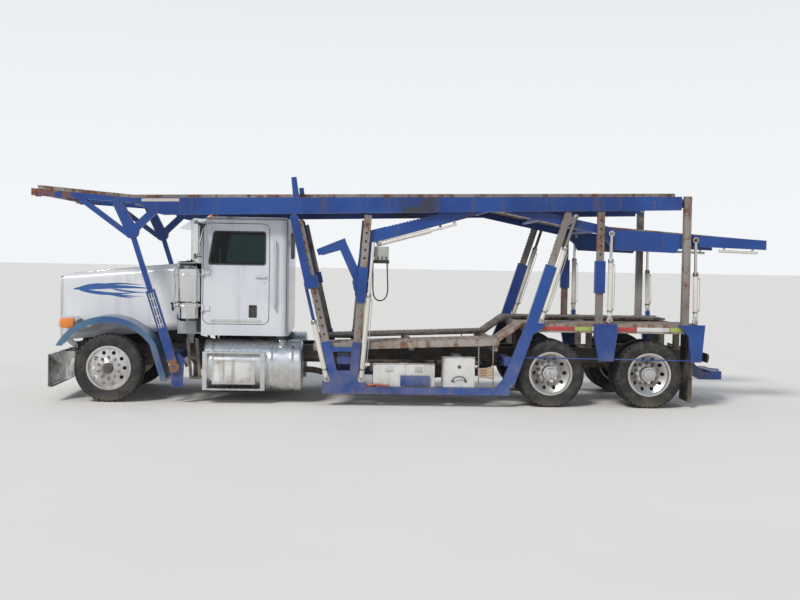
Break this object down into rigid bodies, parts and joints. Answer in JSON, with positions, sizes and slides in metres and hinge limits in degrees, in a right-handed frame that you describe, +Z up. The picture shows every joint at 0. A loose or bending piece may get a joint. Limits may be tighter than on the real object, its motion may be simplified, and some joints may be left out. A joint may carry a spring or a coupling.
{
  "type": "car transporter truck",
  "caption": "Conventional truck with a steel car-carrying rack: a lifting upper deck over the cab, a tilting middle deck, a low bed and a trailer coupling.",
  "frame": {"origin": "on the ground below the middle of the truck's length and width", "axes": "-X towards the truck's nose, -Y towards the driver's side, +Z up"},
  "size_m": [9.97, 2.59, 3.0845],
  "materials": {
    "frame_black": "matt, dusty",
    "axle_iron": "matt, rusty",
    "engine_grey": "matt",
    "bumper_chrome": "polished",
    "cab_white": "gloss, chalky",
    "windscreen": "clear",
    "door_glass": "tinted",
    "interior_black": "matt",
    "bright_metal": "polished",
    "tank_aluminium": "polished",
    "toolbox_white": "satin, dirty",
    "rack_blue": "gloss, worn and rusty at the edges",
    "mast_rust": "bare rusty steel",
    "cylinder_white": "satin, dirty",
    "rod_steel": "bright",
    "deck_steel": "worn pale steel",
    "flap_rubber": "matt",
    "lamp_red": "gloss",
    "tyre_black": "matt",
    "wheel_aluminium": "polished"
  },
  "bodies": {
    "truck": {"chassis_frame": "frame_black", "axles": "axle_iron", "engine_block": "engine_grey", "bumper": "bumper_chrome", "cab_shell": "cab_white", "cab_glass": "windscreen", "cab_interior": "interior_black", "cab_brightwork": "bright_metal", "fuel_tanks": "tank_aluminium", "cab_steps": "frame_black", "toolboxes": "toolbox_white", "rack_sides": "rack_blue", "rack_base": "rack_blue", "masts": "mast_rust", "lift_barrels": "cylinder_white", "lower_deck": "deck_steel", "mudflaps": "flap_rubber", "stinger": "frame_black", "tail_lamps": "lamp_red"},
    "hood": {"hood": "cab_white", "fenders": "rack_blue", "hood_brightwork": "bright_metal"},
    "upper_deck": {"upper_rails": "rack_blue", "upper_runways": "deck_steel"},
    "mid_deck": {"mid_arms": "rack_blue", "mid_runways": "deck_steel", "arm_cylinders": "cylinder_white"},
    "mid_barrels": {"mid_cylinder_barrels": "cylinder_white"},
    "mid_rods": {"mid_cylinder_rods": "rod_steel"},
    "tail_barrels": {"tail_cylinder_barrels": "cylinder_white"},
    "tail_rods": {"tail_cylinder_rods": "rod_steel"},
    "mast_sliders": {"mast_sliders": "rack_blue"},
    "diagonal_masts": {"diagonal_masts": "mast_rust"},
    "leg_channels": {"front_leg_channels": "rack_blue"},
    "leg_struts": {"front_leg_struts": "mast_rust"},
    "door_left": {"door_left": "cab_white", "door_glass_left": "door_glass"},
    "knuckle_left": {"knuckle_left": "axle_iron"},
    "front_wheel_left": {"tyre_front_left": "tyre_black", "rim_front_left": "wheel_aluminium"},
    "rear_wheels_1_left": {"tyres_rear_1_left": "tyre_black", "rims_rear_1_left": "wheel_aluminium"},
    "toolbox_door_1_left": {"toolbox_door_1_left": "toolbox_white"},
    "rear_wheels_2_left": {"tyres_rear_2_left": "tyre_black", "rims_rear_2_left": "wheel_aluminium"},
    "toolbox_door_2_left": {"toolbox_door_2_left": "toolbox_white"},
    "door_right": {"door_right": "cab_white", "door_glass_right": "door_glass"},
    "knuckle_right": {"knuckle_right": "axle_iron"},
    "front_wheel_right": {"tyre_front_right": "tyre_black", "rim_front_right": "wheel_aluminium"},
    "rear_wheels_1_right": {"tyres_rear_1_right": "tyre_black", "rims_rear_1_right": "wheel_aluminium"},
    "toolbox_door_1_right": {"toolbox_door_1_right": "toolbox_white"},
    "rear_wheels_2_right": {"tyres_rear_2_right": "tyre_black", "rims_rear_2_right": "wheel_aluminium"},
    "toolbox_door_2_right": {"toolbox_door_2_right": "toolbox_white"}
  },
  "joints": [
    {"name": "door_left_hinge", "type": "hinge", "parent": "truck", "child": "door_left", "pos_m": [-2.737, -1.071, 1.5], "axis": [0, 0, -1], "range_deg": [0, 70]},
    {"name": "steering_left", "type": "hinge", "parent": "truck", "child": "knuckle_left", "pos_m": [-3.985, -0.9, 0.465], "axis": [0, 0, 1], "range_deg": [-35, 35]},
    {"name": "front_wheel_left_spin", "type": "hinge", "parent": "knuckle_left", "child": "front_wheel_left", "pos_m": [-3.985, -1.035, 0.465], "axis": [0, 1, 0], "continuous": true},
    {"name": "rear_wheels_1_left_spin", "type": "hinge", "parent": "truck", "child": "rear_wheels_1_left", "pos_m": [2.035, -0.9175, 0.465], "axis": [0, 1, 0], "continuous": true},
    {"name": "toolbox_door_1_left_hinge", "type": "hinge", "parent": "truck", "child": "toolbox_door_1_left", "pos_m": [0.015, -1.198, 0.565], "axis": [-1, 0, 0], "range_deg": [0, 95]},
    {"name": "rear_wheels_2_left_spin", "type": "hinge", "parent": "truck", "child": "rear_wheels_2_left", "pos_m": [3.407, -0.9175, 0.465], "axis": [0, 1, 0], "continuous": true},
    {"name": "toolbox_door_2_left_hinge", "type": "hinge", "parent": "truck", "child": "toolbox_door_2_left", "pos_m": [0.77, -1.198, 0.665], "axis": [-1, 0, 0], "range_deg": [0, 95]},
    {"name": "door_right_hinge", "type": "hinge", "parent": "truck", "child": "door_right", "pos_m": [-2.737, 1.071, 1.5], "axis": [0, 0, 1], "range_deg": [0, 70]},
    {"name": "steering_right", "type": "hinge", "parent": "truck", "child": "knuckle_right", "pos_m": [-3.985, 0.9, 0.465], "axis": [0, 0, 1], "range_deg": [-35, 35]},
    {"name": "front_wheel_right_spin", "type": "hinge", "parent": "knuckle_right", "child": "front_wheel_right", "pos_m": [-3.985, 1.035, 0.465], "axis": [0, 1, 0], "continuous": true},
    {"name": "rear_wheels_1_right_spin", "type": "hinge", "parent": "truck", "child": "rear_wheels_1_right", "pos_m": [2.035, 0.9175, 0.465], "axis": [0, 1, 0], "continuous": true},
    {"name": "toolbox_door_1_right_hinge", "type": "hinge", "parent": "truck", "child": "toolbox_door_1_right", "pos_m": [0.015, 1.198, 0.565], "axis": [1, 0, 0], "range_deg": [0, 95]},
    {"name": "rear_wheels_2_right_spin", "type": "hinge", "parent": "truck", "child": "rear_wheels_2_right", "pos_m": [3.407, 0.9175, 0.465], "axis": [0, 1, 0], "continuous": true},
    {"name": "toolbox_door_2_right_hinge", "type": "hinge", "parent": "truck", "child": "toolbox_door_2_right", "pos_m": [0.77, 1.198, 0.665], "axis": [1, 0, 0], "range_deg": [0, 95]},
    {"name": "hood_hinge", "type": "hinge", "parent": "truck", "child": "hood", "pos_m": [-4.585, 0, 0.7], "axis": [0, -1, 0], "range_deg": [0, 45]},
    {"name": "upper_deck_tilt", "type": "hinge", "parent": "truck", "child": "upper_deck", "pos_m": [3.855, 0, 2.83], "axis": [0, 1, 0], "range_deg": [0, 4]},
    {"name": "mid_deck_tilt", "type": "hinge", "parent": "truck", "child": "mid_deck", "pos_m": [-0.585, 0, 1.62], "axis": [0, 1, 0], "range_deg": [0, 5]},
    {"name": "leg_swing", "type": "hinge", "parent": "truck", "child": "leg_channels", "pos_m": [-3.085, 0, 0.5], "axis": [0, 1, 0], "range_deg": [0, 3.47]},
    {"name": "leg_extend", "type": "slide", "parent": "leg_channels", "child": "leg_struts", "axis": [-0.3052, 0, 0.9523], "range_m": [0, 0.5112]},
    {"name": "mast_slide", "type": "slide", "parent": "truck", "child": "mast_sliders", "axis": [-0.2309, 0, 0.973], "range_m": [0, 0.3845]},
    {"name": "diagonal_slide", "type": "slide", "parent": "truck", "child": "diagonal_masts", "axis": [0.3011, 0, 0.9536], "range_m": [0, 0.1192]},
    {"name": "mid_cylinder_swing", "type": "hinge", "parent": "truck", "child": "mid_barrels", "pos_m": [2.815, 0, 1.215], "axis": [0, 1, 0], "range_deg": [0, 3.51]},
    {"name": "mid_cylinder_stroke", "type": "slide", "parent": "mid_barrels", "child": "mid_rods", "axis": [0, 0, 1], "range_m": [-0.2979, 0]},
    {"name": "tail_cylinder_swing", "type": "hinge", "parent": "truck", "child": "tail_barrels", "pos_m": [4.005, 0, 1.215], "axis": [0, 1, 0], "range_deg": [0, 2.83]},
    {"name": "tail_cylinder_stroke", "type": "slide", "parent": "tail_barrels", "child": "tail_rods", "axis": [-0.0224, 0, 0.9997], "range_m": [-0.4009, 0]}
  ],
  "couplings": [
    {"joint": "steering_right", "follows": "steering_left", "ratio": 1},
    {"joint": "leg_swing", "follows": "upper_deck_tilt", "ratio": 0.864},
    {"joint": "leg_extend", "follows": "upper_deck_tilt", "m_per_rad": 7.315},
    {"joint": "mast_slide", "follows": "upper_deck_tilt", "m_per_rad": 5.5},
    {"joint": "diagonal_slide", "follows": "upper_deck_tilt", "m_per_rad": 1.7},
    {"joint": "mid_cylinder_swing", "follows": "mid_deck_tilt", "ratio": 0.7},
    {"joint": "mid_cylinder_stroke", "follows": "mid_deck_tilt", "m_per_rad": -3.408},
    {"joint": "tail_cylinder_swing", "follows": "mid_deck_tilt", "ratio": 0.563},
    {"joint": "tail_cylinder_stroke", "follows": "mid_deck_tilt", "m_per_rad": -4.588}
  ]
}
